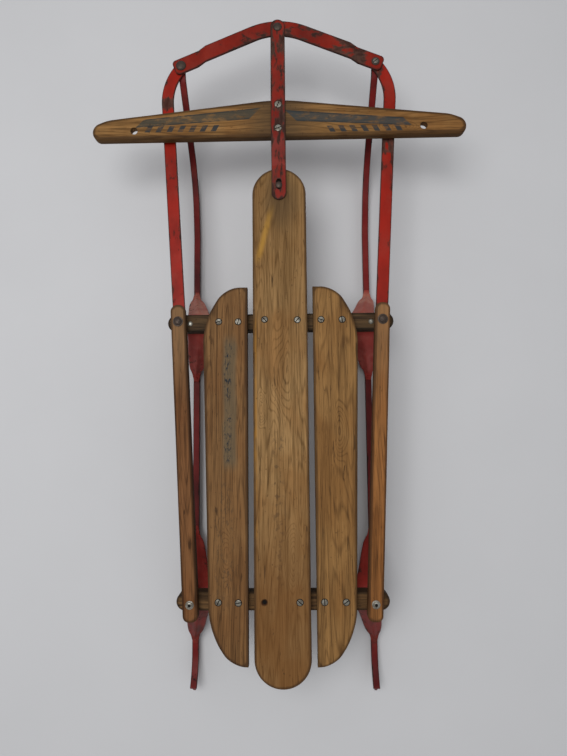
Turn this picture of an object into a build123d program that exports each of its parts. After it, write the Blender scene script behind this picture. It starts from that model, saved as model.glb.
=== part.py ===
"""Steerable sled: a slatted wooden deck on sprung steel runners, with a pivoting bumper and steering bar.

Millimetres. +Y points forward, +X to the rider's right, +Z up. Z = 0 is the snow under the runners.
"""
import os
from math import asin, atan2, cos, hypot, radians, sin, tan

from build123d import *

# Layout along the sled
bunk_spacing = 461.5
deck_height = 140.0
slat_nose_reach = 265.5  # ahead of the front bunk
slat_tail_reach = 132.0  # behind the rear bunk
steering_pin_setback = 31.0  # behind the slat's nose
handle_gap = 50.5  # from the slat's nose to the steering bar
end_rivet_reach = 460.0  # ahead of the front bunk

# Deck
slat_thickness = 14.0
slat_gap = 9.0
centre_slat_width = 92.0
side_slat_front_width = 75.5
side_slat_rear_width = 64.0
side_slat_nose_reach = 58.0
side_slat_nose_flat = 39.0
side_slat_nose_drop = 62.0
side_slat_tail_reach = 98.0  # behind the rear bunk
side_slat_tail_flat = 27.0
side_slat_tail_drop = 55.0
side_slat_inner_round = 44.0
side_slat_outer_round = 115.0
slat_edge = 1.5

# Bunks and side rails
bunk_width = 29.0
bunk_height = 25.0
front_bunk_overhang = 21.0  # past the rail bolts
rear_bunk_overhang = 25.2
bunk_edge = 2.0
rail_gap = 28.5  # from the side slat to the rail, at the front
rail_toe_in = 22.2  # from front bolt to rear bolt
rail_width = 25.0
rail_thickness = 17.0
rail_front_overhang = 29.0
rail_rear_overhang = 28.0
rail_front_corner = 6.0
rail_rear_corner = 10.0
rail_edge = 2.0

# Runners: a flat flange on an upright stem that cuts the snow
runner_inset = 9.0  # inside the line of the end rivets
flange_width = 12.0
flange_thickness = 4.0
stem_thickness = 5.0
stem_height = 14.0
runner_splay_setback = 107.0  # behind the foot of the bow
runner_splay_radius = 600.0
runner_slope = 37.0
runner_bow_radius = 170.0
runner_tab_radius = 25.0
runner_tab_length = 9.0  # either side of the end rivet
runner_tail_flat = 14.0  # behind the rear standard's foot
runner_tail_slope = 34.0
runner_tail_rise = 20.0
runner_tail_radius = 90.0
stem_front_share = 0.72  # of the slope that carries the stem

# Standards between runners and bunks
standard_width = 41.0
standard_thickness = 2.6
front_standard_fore = 66.0  # reach of each leg from the bunk's middle
front_standard_aft = 78.0
rear_standard_fore = 88.0
rear_standard_aft = 94.0
standard_knee_share = 0.45
standard_cheek_share = 0.85
standard_bulge = 6.0
standard_foot_length = 18.0
standard_foot_width = 12.0
standard_foot_lap = 4.0
standard_rib_width = 9.0
standard_rib_height = 3.0

# Front linkage
bar_width = 21.0
bar_thickness = 4.0
bar_hook_length = 68.0
bar_bulge = 24.0
bumper_width = 27.0
bumper_thickness = 4.0
bumper_bow_rise = 62.0
bumper_crown_radius = 116.0
bumper_end_overhang = 13.0
bumper_end_corner = 5.0
joggle_setback = 31.0  # inside the end rivets
joggle_length = 13.0
strap_width = 25.0
strap_thickness = 3.0
strap_tail_overhang = 25.6
strap_tip_overhang = 14.0
strap_rise_margin = 4.0  # flat length kept past the slat's nose and round the steering bar
strap_slot_front = 6.5
strap_slot_rear = 3.0
strap_slot_side = 0.9

# Steering bar
handle_half_length = 320.5
handle_thickness = 17.0
handle_crown_depth = 70.5
handle_tip_depth = 30.5
handle_crown_radius = 280.0
handle_front_corner = 17.0
handle_rear_corner = 13.0
handle_edge = 3.0
handle_clearance = 5.0
rope_hole_x = 248.0
rope_hole_depth = 15.0
rope_hole_radius = 5.2

# Fits between pieces
slide_gap = 0.3
running_fit = 0.05
loose_fit = 0.2
tab_fit = 0.5

# Stations along X, from the deck outward
slat_inner_x = centre_slat_width / 2 + slat_gap
pivot_x = slat_inner_x + side_slat_front_width + rail_gap + rail_width / 2
rear_bolt_x = pivot_x - rail_toe_in
front_bunk_length = 2 * (pivot_x + front_bunk_overhang)
rear_bunk_length = 2 * (rear_bolt_x + rear_bunk_overhang)
runner_x = pivot_x - runner_inset
standard_outer_x = runner_x + 0.5
standard_inner_x = standard_outer_x - standard_width

# Stations along Y, with the sled's middle at zero
flange_middle = stem_height + flange_thickness / 2
tail_angle = radians(runner_tail_slope)
rear_foot_reach = rear_standard_aft + standard_foot_length - standard_foot_lap
tail_bend = runner_tail_radius * tan(tail_angle / 2)
tail_run = runner_tail_rise / tan(tail_angle)
tail_heel = flange_middle * sin(tail_angle)
runner_tail_reach = rear_foot_reach + runner_tail_flat + tail_bend + tail_run + tail_heel
strap_rivet_reach = end_rivet_reach + bumper_bow_rise
front_bunk_y = (bunk_spacing + runner_tail_reach - strap_rivet_reach - strap_tip_overhang) / 2
rear_bunk_y = front_bunk_y - bunk_spacing
tail_y = rear_bunk_y - runner_tail_reach
end_rivet_y = front_bunk_y + end_rivet_reach
strap_rivet_y = front_bunk_y + strap_rivet_reach
slat_nose_y = front_bunk_y + slat_nose_reach
slat_tail_y = rear_bunk_y - slat_tail_reach
pin_y = slat_nose_y - steering_pin_setback
handle_rear_y = slat_nose_y + handle_gap
handle_crown_y = handle_rear_y + handle_crown_depth

# Heights
bunk_top = deck_height - slat_thickness
bunk_bottom = bunk_top - bunk_height
flange_bottom = bunk_bottom - standard_thickness
rail_top = bunk_top + rail_thickness
bar_bottom = bunk_top + slide_gap
bar_top = bar_bottom + bar_thickness
bumper_end_bottom = bar_top + slide_gap
bumper_end_top = bumper_end_bottom + bumper_thickness
bumper_top = deck_height
bumper_bottom = bumper_top - bumper_thickness
strap_bottom = deck_height + slide_gap
strap_top = strap_bottom + strap_thickness
handle_bottom = bar_top + handle_clearance
handle_top = handle_bottom + handle_thickness
tab_bottom = bunk_top - flange_thickness
flange_top = stem_height + flange_thickness

os.makedirs("parts", exist_ok=True)

# Centre slat, round at both ends, with the hole for the steering pin
pin_radius = 3.5
with BuildPart() as centre_slat:
    with BuildSketch(Plane.XY.offset(bunk_top)):
        with Locations((0, (slat_nose_y + slat_tail_y) / 2)):
            SlotOverall(slat_nose_y - slat_tail_y, centre_slat_width, rotation=90)
    extrude(amount=slat_thickness)
    chamfer(centre_slat.faces().sort_by(Axis.Z)[-1].edges(), slat_edge)
    with Locations((0, pin_y, deck_height)):
        Hole(pin_radius + loose_fit)
centre_slat.part.label = "centre_slat"
export_step(centre_slat.part, "parts/centre_slat.step")

# Side slats, tapering to the rear, with long rounded outer corners
side_nose_y = front_bunk_y + side_slat_nose_reach
side_tail_y = rear_bunk_y - side_slat_tail_reach
with BuildPart() as right_side_slat:
    with BuildSketch(Plane.XY.offset(bunk_top)):
        with BuildLine():
            FilletPolyline(
                (slat_inner_x, side_tail_y),
                (slat_inner_x, side_nose_y),
                (slat_inner_x + side_slat_nose_flat, side_nose_y),
                (slat_inner_x + side_slat_front_width, side_nose_y - side_slat_nose_drop),
                (slat_inner_x + side_slat_rear_width, side_tail_y + side_slat_tail_drop),
                (slat_inner_x + side_slat_tail_flat, side_tail_y),
                radius=(
                    0,
                    0,
                    side_slat_inner_round,
                    side_slat_outer_round,
                    side_slat_outer_round,
                    side_slat_inner_round,
                ),
                close=True,
            )
        make_face()
    extrude(amount=slat_thickness)
    chamfer(right_side_slat.faces().sort_by(Axis.Z)[-1].edges(), slat_edge)
right_side_slat.part.label = "right_side_slat"
export_step(right_side_slat.part, "parts/right_side_slat.step")

with BuildPart() as left_side_slat:
    mirror(right_side_slat.part, about=Plane.YZ)
left_side_slat.part.label = "left_side_slat"
export_step(left_side_slat.part, "parts/left_side_slat.step")

# Bunks: cross bars under the slats, bored for the rail bolts
rail_bolt_radius = 3.2
bunks = (
    # name, y, length, bolt x
    ("front_bunk", front_bunk_y, front_bunk_length, pivot_x),
    ("rear_bunk", rear_bunk_y, rear_bunk_length, rear_bolt_x),
)
for name, y, length, bolt_x in bunks:
    with BuildPart() as bunk:
        with BuildSketch(Plane.XY.offset(bunk_bottom)):
            with Locations((0, y)):
                SlotOverall(length, bunk_width)
        extrude(amount=bunk_height)
        chamfer(bunk.faces().sort_by(Axis.Z)[0].edges(), bunk_edge)
        with Locations((-bolt_x, y, bunk_top), (bolt_x, y, bunk_top)):
            Hole(rail_bolt_radius + loose_fit)
    bunk.part.label = name
    export_step(bunk.part, f"parts/{name}.step")

# Side rails from bunk to bunk, rebated at the front over the swinging side bars
rail_run = hypot(pivot_x - rear_bolt_x, bunk_spacing)
rail_plane = Plane(
    origin=(pivot_x, front_bunk_y, bunk_top),
    x_dir=(bunk_spacing, rear_bolt_x - pivot_x, 0),
    z_dir=(0, 0, 1),
)
rail_length = rail_front_overhang + rail_run + rail_rear_overhang
rail_middle = (rail_front_overhang - rail_run - rail_rear_overhang) / 2
rebate_rear = bar_width / 2 + 1.0
with BuildPart() as right_side_rail:
    with BuildSketch(rail_plane) as rail_outline:
        with Locations((0, rail_middle)):
            Rectangle(rail_width, rail_length)
        fillet(rail_outline.vertices().sort_by(Axis.Y)[2:], rail_front_corner)
    extrude(amount=rail_thickness)
    fillet(right_side_rail.edges().filter_by(Axis.Z).sort_by(Axis.Y)[:2], rail_rear_corner)
    chamfer(right_side_rail.faces().sort_by(Axis.Z)[-1].edges(), rail_edge)
    with BuildSketch(rail_plane):
        with Locations((0, (rail_front_overhang - rebate_rear) / 2)):
            Rectangle(rail_width * 2, rail_front_overhang + rebate_rear)
    extrude(amount=bar_thickness + 2 * slide_gap, mode=Mode.SUBTRACT)
    with Locations((pivot_x, front_bunk_y, rail_top), (rear_bolt_x, rear_bunk_y, rail_top)):
        Hole(rail_bolt_radius + loose_fit)
right_side_rail.part.label = "right_side_rail"
export_step(right_side_rail.part, "parts/right_side_rail.step")

with BuildPart() as left_side_rail:
    mirror(right_side_rail.part, about=Plane.YZ)
left_side_rail.part.label = "left_side_rail"
export_step(left_side_rail.part, "parts/left_side_rail.step")

# Runners: flange and stem swept along the snow, the flange up the bow to a flat tab under the end rivet
rivet_radius = 4.0
tab_start_y = end_rivet_y - runner_tab_length
tab_middle = tab_bottom + flange_thickness / 2
tab_rise = tab_middle - flange_middle
bow_top_y = tab_start_y - runner_tab_radius * tan(radians(runner_slope / 2))
bow_foot_y = bow_top_y - tab_rise / tan(radians(runner_slope))
splay_y = bow_foot_y - runner_splay_setback
splay_rate = (pivot_x - runner_x) / (end_rivet_y - splay_y)
tail_start_y = tail_y + tail_heel
tail_corner_y = tail_start_y + tail_run


def splayed(y, z):
    """Point of the flange's middle line at station y, moved outward by the splay of the bow."""
    return (runner_x + splay_rate * max(0.0, y - splay_y), y, z)


stem_end_y = bow_foot_y + stem_front_share * (bow_top_y - bow_foot_y)
stem_end_z = flange_middle + stem_front_share * tab_rise
tail_start = (runner_x, tail_start_y, flange_middle + runner_tail_rise)
tail_corner = (runner_x, tail_corner_y, flange_middle)
with BuildPart() as right_runner:
    with BuildLine() as flange_line:
        FilletPolyline(
            tail_start,
            tail_corner,
            splayed(splay_y, flange_middle),
            splayed(bow_foot_y, flange_middle),
            splayed(bow_top_y, tab_middle),
            splayed(end_rivet_y + runner_tab_length, tab_middle),
            radius=(runner_tail_radius, runner_splay_radius, runner_bow_radius, runner_tab_radius),
        )
    tail_plane = Plane(
        origin=tail_start,
        x_dir=(-1, 0, 0),
        z_dir=(0, tail_run, -runner_tail_rise),
    )
    with BuildSketch(tail_plane):
        Rectangle(flange_width, flange_thickness)
    sweep(path=flange_line.line)
    with BuildLine() as stem_line:
        FilletPolyline(
            tail_start,
            tail_corner,
            splayed(splay_y, flange_middle),
            splayed(bow_foot_y, flange_middle),
            splayed(stem_end_y, stem_end_z),
            radius=(runner_tail_radius, runner_splay_radius, runner_bow_radius),
        )
    with BuildSketch(tail_plane):
        with Locations((0, -flange_middle / 2)):
            Rectangle(stem_thickness, flange_middle)
    sweep(path=stem_line.line)
    with Locations((pivot_x, end_rivet_y, bunk_top)):
        Hole(rivet_radius + tab_fit, depth=flange_thickness * 2)
right_runner.part.label = "right_runner"
export_step(right_runner.part, "parts/right_runner.step")

with BuildPart() as left_runner:
    mirror(right_runner.part, about=Plane.YZ)
left_runner.part.label = "left_runner"
export_step(left_runner.part, "parts/left_runner.step")

# Standards: an arch of ribbed sheet steel under each bunk, its legs narrowing to a pad on the runner's flange
foot_inner_x = runner_x - standard_foot_width / 2
foot_outer_x = runner_x + standard_foot_width / 2
foot_top = flange_top + standard_thickness
flange_edge = bunk_width / 2
standards = (
    # name, bunk y, reach of the front leg, reach of the rear leg, bolt x
    ("front_standard", front_bunk_y, front_standard_fore, front_standard_aft, pivot_x),
    ("rear_standard", rear_bunk_y, rear_standard_fore, rear_standard_aft, rear_bolt_x),
)
for name, bunk_y, fore, aft, bolt_x in standards:
    with BuildPart() as standard:
        with BuildSketch(Plane.XY.offset(flange_bottom)):
            with Locations(((standard_inner_x + standard_outer_x) / 2, bunk_y)):
                Rectangle(standard_width, bunk_width)
        extrude(amount=standard_thickness)
        for way, span in ((1, fore), (-1, -aft)):
            leg_run = abs(span) - flange_edge
            drop = bunk_bottom - foot_top
            inner_run = foot_inner_x - standard_inner_x
            legs = (
                # distance from bunk, inner x, outer x, top of the sheet
                (flange_edge - 1.0, standard_inner_x, standard_outer_x, bunk_bottom),
                (
                    flange_edge + standard_knee_share * leg_run,
                    standard_inner_x + 0.5 * inner_run,
                    standard_outer_x + standard_bulge,
                    bunk_bottom - (standard_knee_share + 0.05) * drop,
                ),
                (
                    flange_edge + standard_cheek_share * leg_run,
                    standard_inner_x + 0.75 * inner_run,
                    standard_outer_x + standard_bulge * 1.4,
                    bunk_bottom - (standard_cheek_share + 0.02) * drop,
                ),
                (abs(span), foot_inner_x, foot_outer_x, foot_top),
            )
            plan = [(inner_x, bunk_y + way * reach) for reach, inner_x, outer_x, top in legs]
            plan += [(outer_x, bunk_y + way * reach) for reach, inner_x, outer_x, top in reversed(legs)]
            side = [(bunk_y + way * reach, top) for reach, inner_x, outer_x, top in legs]
            side += [(y, top - standard_thickness) for y, top in reversed(side)]
            with BuildPart(mode=Mode.PRIVATE) as leg:
                with BuildSketch(Plane.YZ.offset(standard_inner_x)):
                    Polygon(*side, align=None)
                extrude(amount=standard_width * 2)
                with BuildSketch(Plane.XY):
                    Polygon(*plan, align=None)
                extrude(amount=bunk_top, mode=Mode.INTERSECT)
            add(leg.part)
            for start, end in zip(legs, legs[1:]):
                begin = Vector((start[1] + start[2]) / 2, bunk_y + way * start[0], start[3])
                finish = Vector((end[1] + end[2]) / 2, bunk_y + way * end[0], end[3])
                rib = standard_rib_width / 2
                with BuildSketch(Plane(begin, x_dir=(1, 0, 0), z_dir=(0, -1, 0))):
                    Polygon((-rib, 0), (rib, 0), (0, standard_rib_height), align=None)
                extrude(amount=(finish - begin).length, dir=(finish - begin).normalized())
            foot_y = bunk_y + span + way * (standard_foot_length / 2 - standard_foot_lap)
            with BuildSketch(Plane.XY.offset(flange_top)):
                with Locations((runner_x, foot_y)):
                    Rectangle(standard_foot_width, standard_foot_length)
            extrude(amount=standard_thickness)
        with BuildSketch(Plane.XY.offset(bunk_bottom)):
            with Locations((runner_x, bunk_y)):
                Rectangle(standard_width * 3, bunk_width * 3)
        extrude(amount=bunk_height, mode=Mode.SUBTRACT)
        if bolt_x < standard_outer_x:
            with Locations((bolt_x, bunk_y, bunk_bottom)):
                Hole(rail_bolt_radius + loose_fit, depth=standard_thickness * 2)
    standard.part.label = f"right_{name}"
    export_step(standard.part, f"parts/right_{name}.step")
    with BuildPart() as mirrored:
        mirror(standard.part, about=Plane.YZ)
    mirrored.part.label = f"left_{name}"
    export_step(mirrored.part, f"parts/left_{name}.step")

# Side bars, swinging on the front rail bolts, hooked inward to the bumper's end rivets
bar_leg_run = end_rivet_reach - bar_hook_length
bend_point = (pivot_x + bar_bulge, front_bunk_y + bar_leg_run)
with BuildPart() as right_side_bar:
    with BuildSketch(Plane.XY.offset(bar_bottom)):
        with BuildLine():
            Line((pivot_x, front_bunk_y), bend_point)
            TangentArc(bend_point, (pivot_x, end_rivet_y), tangent=(bar_bulge, bar_leg_run))
        trace(line_width=bar_width)
        with Locations((pivot_x, front_bunk_y), (pivot_x, end_rivet_y)):
            Circle(bar_width / 2)
    extrude(amount=bar_thickness)
    with Locations((pivot_x, front_bunk_y, bar_top)):
        Hole(rail_bolt_radius + running_fit)
    with Locations((pivot_x, end_rivet_y, bar_top)):
        Hole(rivet_radius + running_fit)
right_side_bar.part.label = "right_side_bar"
export_step(right_side_bar.part, "parts/right_side_bar.step")

with BuildPart() as left_side_bar:
    mirror(right_side_bar.part, about=Plane.YZ)
left_side_bar.part.label = "left_side_bar"
export_step(left_side_bar.part, "parts/left_side_bar.step")

# Bumper: a bowed flat strip whose ends step down onto the side bars
crown_drop = bumper_crown_radius - bumper_bow_rise
arm = asin(bumper_crown_radius / hypot(pivot_x, crown_drop)) - atan2(crown_drop, pivot_x)
apex_y = end_rivet_y + pivot_x * tan(arm)
end_x = pivot_x + bumper_end_overhang * cos(arm)
end_y = end_rivet_y - bumper_end_overhang * sin(arm)
joggle_x = pivot_x - joggle_setback
step = (
    # x, underside
    (end_x * 1.2, bumper_end_bottom),
    (joggle_x, bumper_end_bottom),
    (joggle_x - joggle_length, bumper_bottom),
)
underside = [(-x, z) for x, z in step] + [(x, z) for x, z in reversed(step)]
topside = [(x, z + bumper_thickness) for x, z in reversed(underside)]
with BuildPart() as bumper:
    with BuildSketch(Plane.XY.offset(bumper_end_bottom)) as bumper_outline:
        with BuildLine():
            FilletPolyline((-end_x, end_y), (0, apex_y), (end_x, end_y), radius=bumper_crown_radius)
        trace(line_width=bumper_width)
        fillet(
            bumper_outline.vertices().group_by(Axis.X)[0] + bumper_outline.vertices().group_by(Axis.X)[-1],
            bumper_end_corner,
        )
    extrude(amount=bumper_top - bumper_end_bottom)
    with BuildSketch(Plane.XZ.offset(-apex_y * 1.2)):
        Polygon(*underside, *topside, align=None)
    extrude(amount=apex_y, mode=Mode.INTERSECT)
    with Locations((-pivot_x, end_rivet_y, bumper_top), (pivot_x, end_rivet_y, bumper_top)):
        Hole(rivet_radius + running_fit)
    with Locations((0, strap_rivet_y, bumper_top)):
        Hole(rivet_radius + running_fit)
bumper.part.label = "bumper"
export_step(bumper.part, "parts/bumper.step")

# Steering strap: flat on the slat's nose and the bumper, raised between them over the steering bar
strap_tail_y = pin_y - strap_tail_overhang
strap_tip_y = strap_rivet_y + strap_tip_overhang
strap_line = (
    # y, underside
    (strap_tail_y, strap_bottom),
    (slat_nose_y + strap_rise_margin, strap_bottom),
    (handle_rear_y - strap_rise_margin, handle_top),
    (handle_crown_y + strap_rise_margin, handle_top),
    (strap_rivet_y - bumper_width, strap_bottom),
    (strap_tip_y, strap_bottom),
)
strap_lid = [(y, z + strap_thickness) for y, z in reversed(strap_line)]
with BuildPart() as steering_strap:
    with BuildSketch(Plane.XY.offset(strap_bottom)):
        with Locations((0, (strap_tail_y + strap_tip_y) / 2)):
            SlotOverall(strap_tip_y - strap_tail_y, strap_width, rotation=90)
    extrude(amount=handle_top + strap_thickness - strap_bottom)
    with BuildSketch(Plane.YZ.offset(-strap_width)):
        Polygon(*strap_line, *strap_lid, align=None)
    extrude(amount=strap_width * 2, mode=Mode.INTERSECT)
    with Locations((0, strap_rivet_y, strap_top)):
        Hole(rivet_radius + running_fit)
    slot_width = 2 * (pin_radius + strap_slot_side)
    with BuildSketch(Plane.XY.offset(strap_bottom)):
        with Locations((0, pin_y + (strap_slot_front - strap_slot_rear) / 2)):
            SlotOverall(slot_width + strap_slot_front + strap_slot_rear, slot_width, rotation=90)
    extrude(amount=strap_thickness, mode=Mode.SUBTRACT)
steering_strap.part.label = "steering_strap"
export_step(steering_strap.part, "parts/steering_strap.step")

# Steering bar: straight behind, crowned in front, with a rope hole near each tip
rear_y = handle_rear_y
shoulder_y = handle_rear_y + handle_tip_depth
with BuildPart() as steering_handle:
    with BuildSketch(Plane.XY.offset(handle_bottom)) as handle_outline:
        with BuildLine():
            FilletPolyline(
                (-handle_half_length, rear_y),
                (handle_half_length, rear_y),
                (handle_half_length, shoulder_y),
                (0, handle_crown_y),
                (-handle_half_length, shoulder_y),
                radius=(
                    handle_rear_corner,
                    handle_rear_corner,
                    handle_front_corner,
                    handle_crown_radius,
                    handle_front_corner,
                ),
                close=True,
            )
        make_face()
    extrude(amount=handle_thickness)
    chamfer(steering_handle.faces().sort_by(Axis.Z)[0].edges(), handle_edge)
    chamfer(steering_handle.faces().sort_by(Axis.Z)[-1].edges(), handle_edge)
    rope_hole_y = handle_rear_y + rope_hole_depth
    with Locations((-rope_hole_x, rope_hole_y, handle_top), (rope_hole_x, rope_hole_y, handle_top)):
        Hole(rope_hole_radius)
steering_handle.part.label = "steering_handle"
export_step(steering_handle.part, "parts/steering_handle.step")

# Bolts and rivets: a domed head, a shank and a clenched tail, one node for each set
rail_bolts = (
    # x, y, seat of the head, seat of the tail
    (-pivot_x, front_bunk_y, rail_top, bunk_bottom),
    (pivot_x, front_bunk_y, rail_top, bunk_bottom),
    (-rear_bolt_x, rear_bunk_y, rail_top, flange_bottom),
    (rear_bolt_x, rear_bunk_y, rail_top, flange_bottom),
)
bumper_rivets = (
    # x, y, seat of the head, seat of the tail
    (-pivot_x, end_rivet_y, bumper_end_top, tab_bottom - slide_gap),
    (pivot_x, end_rivet_y, bumper_end_top, tab_bottom - slide_gap),
    (0, strap_rivet_y, strap_top + slide_gap, bumper_bottom),
)
steering_pins = ((0, pin_y, strap_top + slide_gap, bunk_top),)
fastener_sets = (
    # name, seats, shank radius, head radius
    ("rail_bolts", rail_bolts, rail_bolt_radius, 7.0),
    ("bumper_rivets", bumper_rivets, rivet_radius, 8.0),
    ("steering_pin", steering_pins, pin_radius, 6.0),
)
for name, seats, shank_radius, head_radius in fastener_sets:
    head_height = head_radius * 0.45
    head_bevel = head_height * 0.8
    tail_height = head_radius * 0.6
    tail_radius = head_radius * 0.9
    with BuildPart() as fastener:
        for x, y, head_seat, tail_seat in seats:
            with BuildSketch(Plane((x, y, 0), x_dir=(1, 0, 0), z_dir=(0, -1, 0))):
                with BuildLine():
                    Polyline(
                        (0, head_seat + head_height),
                        (0, tail_seat - tail_height),
                        (tail_radius, tail_seat - tail_height),
                        (tail_radius, tail_seat),
                        (shank_radius, tail_seat),
                        (shank_radius, head_seat),
                        (head_radius, head_seat),
                        (head_radius - head_bevel, head_seat + head_height),
                        close=True,
                    )
                make_face()
            revolve(axis=Axis((x, y, 0), (0, 0, 1)))
    fastener.part.label = name
    export_step(fastener.part, f"parts/{name}.step")
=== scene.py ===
# %% [markdown]
# This lesson dresses a steerable sled. Its solids were modelled first and are loaded here as a fixed
# frame, which nothing below moves. Each new piece is laid over its solid and rides on the same body, so
# it moves as the solid does.

# %% Load the imported sled
from math import asin, atan2, cos, hypot, pi, radians, sin, tan

import bmesh
import bpy
from mathutils import Matrix, Vector
from mathutils.bvhtree import BVHTree
from mathutils.noise import noise as ripple


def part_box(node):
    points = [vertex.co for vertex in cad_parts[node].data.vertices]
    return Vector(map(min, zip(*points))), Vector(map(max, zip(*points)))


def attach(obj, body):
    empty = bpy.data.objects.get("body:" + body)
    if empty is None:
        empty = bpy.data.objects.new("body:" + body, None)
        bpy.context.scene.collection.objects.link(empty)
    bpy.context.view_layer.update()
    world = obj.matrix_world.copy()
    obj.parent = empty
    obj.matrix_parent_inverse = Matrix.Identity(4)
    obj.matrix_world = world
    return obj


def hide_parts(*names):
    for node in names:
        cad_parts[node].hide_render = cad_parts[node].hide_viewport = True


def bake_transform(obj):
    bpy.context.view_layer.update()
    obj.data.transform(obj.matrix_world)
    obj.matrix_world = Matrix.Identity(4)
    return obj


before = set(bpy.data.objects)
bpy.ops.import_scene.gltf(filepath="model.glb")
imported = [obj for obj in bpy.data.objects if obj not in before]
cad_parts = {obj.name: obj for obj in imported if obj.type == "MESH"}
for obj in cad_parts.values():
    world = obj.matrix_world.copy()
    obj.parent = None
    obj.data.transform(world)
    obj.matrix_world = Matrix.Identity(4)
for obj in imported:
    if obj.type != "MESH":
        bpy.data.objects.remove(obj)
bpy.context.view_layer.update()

# %% [markdown]
# The sled is about 1.2 m long and lies flat on its runners, nose towards +Y. Blender works in metres, but
# a sled is easier to think about in millimetres, so every size below is in millimetres and MM turns it
# into metres. Most places are read from the CAD nodes' boxes, so the pieces can't drift away from the
# solids.

# %% Stations of the sled, read from the solids
MM = 0.001
X, Y, Z = 0, 1, 2


def box_mm(node, axis):
    """The lowest and highest coordinate of a node on one axis."""
    low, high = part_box(node)
    return low[axis] / MM, high[axis] / MM


def middle(node, axis):
    low, high = box_mm(node, axis)
    return (low + high) / 2


front_y, rear_y = middle("front_bunk", Y), middle("rear_bunk", Y)
bunk_low, bunk_top = box_mm("front_bunk", Z)
deck_top = box_mm("centre_slat", Z)[1]
slat_tail, slat_nose = box_mm("centre_slat", Y)
handle_rear, handle_crown = box_mm("steering_handle", Y)
handle_low, handle_top = box_mm("steering_handle", Z)
pin_y = middle("steering_pin", Y)
pivot_x = 171.5  # pivots of the side bars, left and right of the middle
runner_x = 162.5
bar_reach = 460.0  # from the front bunk to the rivets at the bumper's ends
bumper_rise = 62.0  # from those rivets forward to the strap's rivet
end_y = front_y + bar_reach
strap_y = end_y + bumper_rise
lost_screw = (-29.0, rear_y + 2.7)
print("bunks at", round(front_y, 1), round(rear_y, 1), "deck top", round(deck_top, 1))

# %% [markdown]
# The camera comes first, because every later choice is judged through it. The photograph looks almost
# straight down on the deck from about a metre away, through a wide phone lens. A camera was fitted to
# known points of the sled, and the fit gives three unit vectors (right, up and back), which are the
# columns of the camera's matrix.

# %% Camera
film, focal_pixels, frame_pixels = 36.0, 530, 756
right = (0.99975, -0.00925, -0.02032)
up = (0.01094, 0.99635, 0.08465)
back = (0.01946, -0.08485, 0.9962)
eye = (0.022, (front_y - 171.7) * MM, 1.0182)
camera = bpy.data.objects.new("camera", bpy.data.cameras.new("camera"))
bpy.context.collection.objects.link(camera)
camera.matrix_world = Matrix.Translation(eye) @ Matrix((right, up, back)).transposed().to_4x4()
camera.data.sensor_width = film
camera.data.lens = focal_pixels / frame_pixels * film
camera.data.clip_start = 0.01
bpy.context.scene.camera = camera
print("lens", round(camera.data.lens, 2), "mm")

# %% [markdown]
# A soft studio: a pale floor, one broad lamp overhead and an even, nearly white world. The level is
# plain, so a colour written in a material comes out of the render about as it was written. One lamp is
# enough, because a broad one casts soft shadows. The floor is a wide sheet under the sled.

# %% Floor and light
bpy.context.scene.view_settings.view_transform = "Standard"
world = bpy.data.worlds.new("studio")
bpy.context.scene.world = world
world.use_nodes = True
sky = world.node_tree.nodes["Background"]
sky.inputs["Color"].default_value = (0.97, 0.98, 1.0, 1)
sky.inputs["Strength"].default_value = 0.5

lamp = bpy.data.lights.new("overhead", "AREA")
lamp.shape = "DISK"
lamp.size = 1.5
lamp.energy = 32
lamp_place, lamp_target = Vector((-0.45, 0.2, 2.3)), Vector((0, 0, 0.1))
lamp_turn = (lamp_target - lamp_place).to_track_quat("-Z", "Y").to_matrix().to_4x4()
lamp_holder = bpy.data.objects.new("overhead", lamp)
bpy.context.collection.objects.link(lamp_holder)
lamp_holder.matrix_world = Matrix.Translation(lamp_place) @ lamp_turn

bm = bmesh.new()
bmesh.ops.create_grid(bm, x_segments=1, y_segments=1, size=30.0)
floor_mesh = bpy.data.meshes.new("floor")
bm.to_mesh(floor_mesh)
bm.free()
floor = bpy.data.objects.new("floor", floor_mesh)
bpy.context.collection.objects.link(floor)
print("floor and lamp placed")

# %% [markdown]
# Nodes could be added and linked one by one, but shader maths reads best as arithmetic. This small class
# wraps a node socket: adding or multiplying two of them adds a Math node, and `node` adds any other node,
# settings first and then the values or links of its sockets.


# %% A socket that can be used in an expression
class Socket:
    def __init__(self, tree, socket):
        self.tree = tree
        self.socket = socket

    def node(self, kind, settings, inputs, output=0):
        made = self.tree.nodes.new(kind)
        for name, setting in settings.items():
            setattr(made, name, setting)
        for name, value in inputs.items():
            if isinstance(value, Socket):
                self.tree.links.new(value.socket, made.inputs[name])
            else:
                made.inputs[name].default_value = value
        return Socket(self.tree, made.outputs[output])

    def math(self, operation, first, second=0.0):
        return self.node("ShaderNodeMath", {"operation": operation}, {0: first, 1: second})

    def __add__(self, other):
        return self.math("ADD", self, other)

    def __radd__(self, other):
        return self.math("ADD", other, self)

    def __sub__(self, other):
        return self.math("SUBTRACT", self, other)

    def __rsub__(self, other):
        return self.math("SUBTRACT", other, self)

    def __mul__(self, other):
        return self.math("MULTIPLY", self, other)

    def __rmul__(self, other):
        return self.math("MULTIPLY", other, self)

    def __abs__(self):
        return self.math("ABSOLUTE", self)


print("sockets can be added and multiplied")

# %% [markdown]
# A finish is built from a few patterns: a noise that can be stretched along a board, a soft step that
# turns it into a mask, the distance from a place, and a mix of two colours. All of them read Object
# coordinates, which are the sled's own metres, so a mark can be put at a place on the sled.


# %% Patterns
def smooth(value, low, high):
    """0 below low, 1 above high, with a soft step between (low may be the larger)."""
    settings = {"interpolation_type": "SMOOTHSTEP"}
    return value.node("ShaderNodeMapRange", settings, {0: value, 1: low, 2: high, 3: 0.0, 4: 1.0})


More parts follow.
